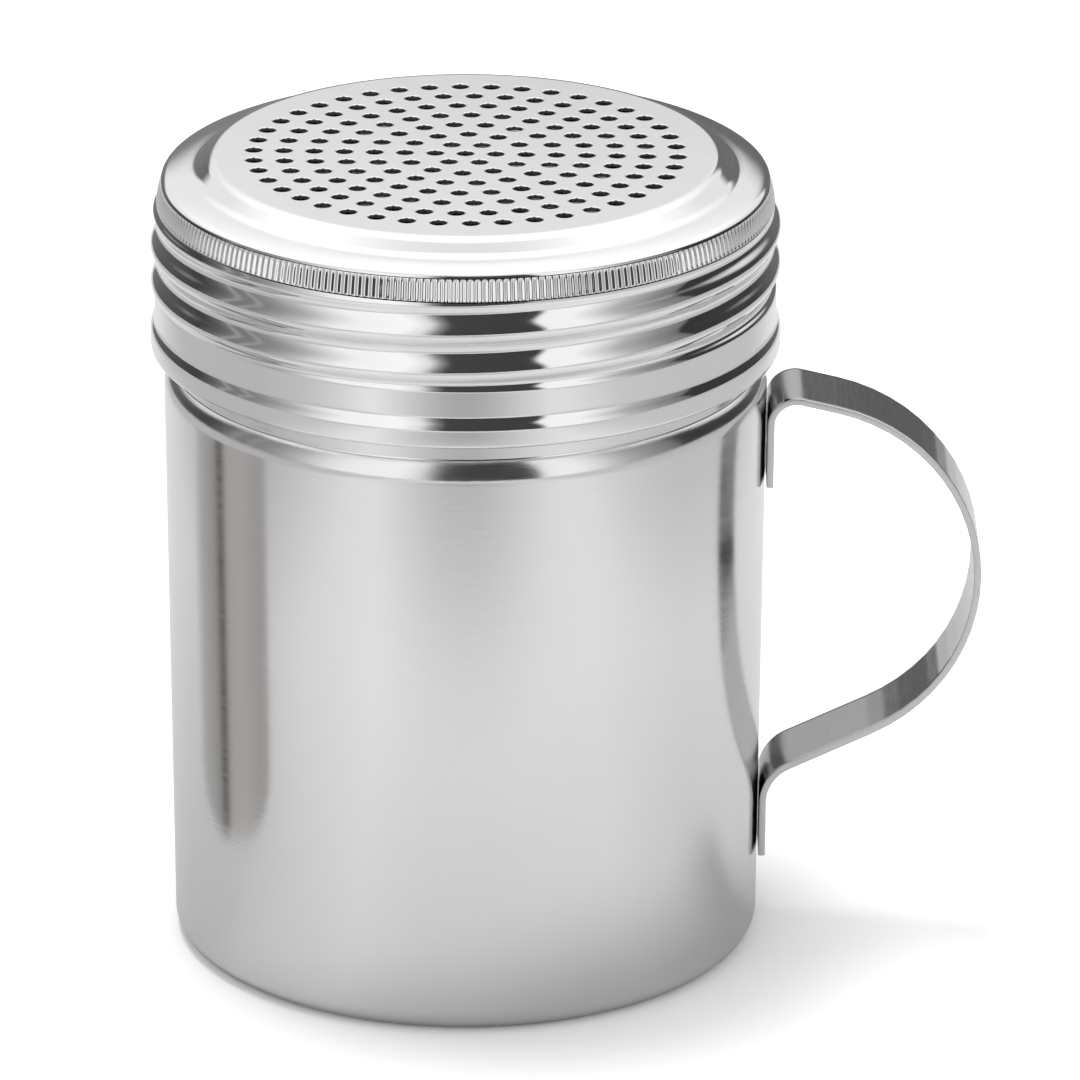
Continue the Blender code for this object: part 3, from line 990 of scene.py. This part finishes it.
def build_left_board():
    """A grey board beside the shaker that only its reflection shows, as in the photograph."""
    bm = bmesh.new()
    bmesh.ops.create_cube(bm, size=1.0)
    stretched = BOARD_HEIGHT / BOARD_CORNER_FLATTENING
    bmesh.ops.scale(bm, vec=(BOARD_THICKNESS, BOARD_WIDTH, stretched), verts=bm.verts)
    corners = [
        edge for edge in bm.edges
        if edge.calc_length() < 2 * BOARD_THICKNESS and edge.verts[0].co.z < 0
    ]
    bmesh.ops.bevel(
        bm, geom=corners, offset=BOARD_CORNER, segments=BOARD_CORNER_STEPS,
        profile=0.5, affect="EDGES",
    )
    bmesh.ops.scale(bm, vec=(1, 1, BOARD_CORNER_FLATTENING), verts=bm.verts)
    bmesh.ops.translate(bm, vec=(0, 0, BOARD_HEIGHT / 2), verts=bm.verts)
    board = new_piece("board", bm)
    board.location = (*BOARD_PLACE, 0.0)
    # The board glows with these shades rather than being lit by the lamps; they paint what the cup's
    # side shows of it
    material, tree, inputs = new_material("board_grey")
    inputs["Base Color"].default_value = (0.0, 0.0, 0.0, 1.0)
    inputs["Specular IOR Level"].default_value = 0.0
    inputs["Roughness"].default_value = 1.0
    inputs["Emission Strength"].default_value = 1.0
    y = coordinates(tree, "Object")[1]
    along = ranged(tree, y, -BOARD_WIDTH / 2, BOARD_WIDTH / 2, 0, 1)
    tree.links.new(ramp(tree, along, BOARD_SHADES), inputs["Emission Color"])
    board.data.materials.append(material)
    board.visible_camera = False
    board.visible_diffuse = False
    board.visible_shadow = False
    board.visible_transmission = False


def build_key():
    """The overhead softbox's directed share, which throws the soft shadow forwards and right."""
    data = bpy.data.lights.new("key", "AREA")
    data.shape = "DISK"
    data.size = KEY_SIZE
    data.energy = KEY_WATTS
    lamp = bpy.data.objects.new("key", data)
    lamp.location = KEY_PLACE
    aim = Vector(KEY_AIM) - Vector(KEY_PLACE)
    lamp.rotation_euler = aim.to_track_quat("-Z", "Y").to_euler()
    lamp.visible_glossy = False
    lamp.visible_camera = False
    bpy.context.scene.collection.objects.link(lamp)


def build_world():
    """A studio of softboxes and dark gaps that only reflections show, white to the camera."""
    world = bpy.data.worlds.new("studio")
    bpy.context.scene.world = world
    world.use_nodes = True
    tree = world.node_tree
    x, y, z = coordinates(tree, "Generated")
    height = maths(tree, "ARCSINE", z)
    low_level = by_azimuth(tree, x, y, STUDIO_AROUND, STUDIO_PEAK)
    low_level = maths(tree, "MULTIPLY", low_level, STUDIO_PEAK)
    limit = by_azimuth(tree, x, y, STUDIO_TOP_STARTS, 90)
    above = maths(tree, "SUBTRACT", height, maths(tree, "MULTIPLY", limit, math.pi / 2))
    share = ranged(tree, above, -STUDIO_SOFTNESS, STUDIO_SOFTNESS, 0.0, 1.0, "SMOOTHSTEP")
    softbox = ranged(tree, height, STUDIO_BACK_ENDS, STUDIO_TOP_FULL, STUDIO_BACK, STUDIO_TOP)
    nearness = maths(tree, "MULTIPLY", y, -1.0)
    front = ranged(tree, nearness, CEILING_STARTS, CEILING_FULL, 0.0, 1.0)
    ceiling_top = CEILING_END + CEILING_END_SOFTNESS
    low_enough = ranged(tree, height, CEILING_END, ceiling_top, 1.0, 0.0)
    ceiling_share = maths(tree, "MULTIPLY", front, low_enough)
    top = mixed(tree, "FLOAT", ceiling_share, softbox, CEILING)
    level = mixed(tree, "FLOAT", share, low_level, top)
    path = node(tree, "ShaderNodeLightPath")
    plain = mixed(tree, "FLOAT", path.outputs["Is Camera Ray"], STUDIO_DIFFUSE, 1.0)
    shown = mixed(tree, "FLOAT", path.outputs["Is Glossy Ray"], plain, level)
    background = tree.nodes["Background"]
    tree.links.new(shown, background.inputs["Strength"])
    background.inputs["Color"].default_value = (1.0, 1.0, 1.0, 1.0)


build_camera()
build_object()
build_floor()
build_left_board()
build_key()
build_world()
bpy.context.scene.view_settings.view_transform = "Standard"
